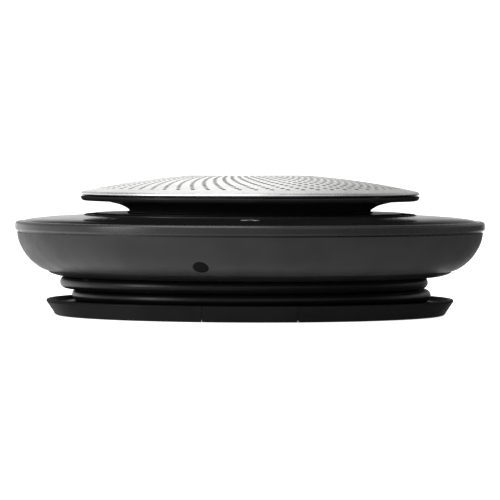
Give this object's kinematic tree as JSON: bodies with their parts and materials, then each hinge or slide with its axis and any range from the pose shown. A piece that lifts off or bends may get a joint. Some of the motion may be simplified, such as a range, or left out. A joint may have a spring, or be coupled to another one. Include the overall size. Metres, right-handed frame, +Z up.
{
  "type": "conference speakerphone",
  "caption": "Round portable conference speakerphone: domed metal grille on a raised pod, touch ring, bowl housing, USB lead wound in the base and a fold-out stand.",
  "frame": {"origin": "centre of the foot ring, on the surface the speakerphone stands on", "axes": "+Z up along the axis of the round body; -Y towards the user, the side with the stand flap and the main key symbol; +X to the user's right"},
  "size_m": [0.1324, 0.1324, 0.0399],
  "materials": {
    "grille_metal": "fine perforated metal, satin",
    "pod_black": "satin black moulded plastic",
    "panel_gloss": "polished black plastic with printed key symbols",
    "housing_grey": "dark grey moulded plastic, fine spark texture",
    "base_black": "black moulded plastic",
    "light_guide": "milky light guide",
    "cloth_black": "acoustic cloth",
    "foam_black": "closed-cell foam",
    "rubber_black": "moulded rubber",
    "cord_black": "soft cord jacket",
    "plug_black": "overmould with grip ribs",
    "plug_metal": "nickel plated",
    "plug_white": "moulded insulator",
    "screw_steel": "zinc plated",
    "spring_steel": "spring steel",
    "basket_steel": "black painted pressing",
    "motor_steel": "nickel plated",
    "coil_copper": "enamelled copper winding",
    "cone_paper": "pressed paper",
    "spider_cloth": "phenolic cloth",
    "board_green": "circuit board",
    "part_grey": "electronic part",
    "shield_metal": "pressed can",
    "battery_foil": "laminate pouch",
    "label_grey": "blank label"
  },
  "bodies": {
    "housing": {"speaker_grille": "grille_metal", "grille_cloth": "cloth_black", "grille_trim_ring": "grille_metal", "speaker_pod": "pod_black", "pod_seal": "foam_black", "pod_lock_ring": "base_black", "pod_screws": "screw_steel", "driver_gasket": "foam_black", "driver_basket": "basket_steel", "driver_yoke": "motor_steel", "driver_magnet": "motor_steel", "driver_pole_plate": "motor_steel", "surround": "rubber_black", "spider": "spider_cloth", "driver_screws": "screw_steel", "top_cover": "pod_black", "light_ring": "light_guide", "led_board": "board_green", "status_leds": "plug_white", "touch_panel": "panel_gloss", "touch_board": "board_green", "microphones": "plug_metal", "mic_gaskets": "foam_black", "rim_band": "housing_grey", "lower_housing": "housing_grey", "bottom_cover": "base_black", "housing_screws": "screw_steel", "main_board": "board_green", "board_screws": "screw_steel", "shield_can": "shield_metal", "board_capacitors": "part_grey", "usb_header": "plug_white", "battery_connector": "plug_white", "battery_pad": "foam_black", "battery": "battery_foil", "cable_drum": "base_black", "drum_screws": "screw_steel", "cord_clamp": "base_black", "usb_cord": "cord_black", "usb_plug_body": "plug_black", "usb_plug_shell": "plug_metal", "usb_plug_tongue": "plug_white", "base_dish": "base_black", "base_plate": "base_black", "base_screws": "screw_steel", "foot_ring": "rubber_black", "rating_label": "label_grey", "stand_pin": "spring_steel", "stand_spring": "spring_steel"},
    "stand": {"stand_flap": "base_black", "stand_pad": "rubber_black"},
    "diaphragm": {"voice_coil": "coil_copper", "driver_cone": "cone_paper", "dust_cap": "cone_paper"}
  },
  "joints": [
    {"name": "stand_hinge", "type": "hinge", "parent": "housing", "child": "stand", "pos_m": [0, -0.0145, 0.0032], "axis": [1, 0, 0], "range_deg": [0, 105]},
    {"name": "diaphragm_travel", "type": "slide", "parent": "housing", "child": "diaphragm", "axis": [0, 0, 1], "range_m": [-0.001, 0.001], "stiffness_N_per_m": 1200, "deforming": ["surround", "spider"]}
  ]
}
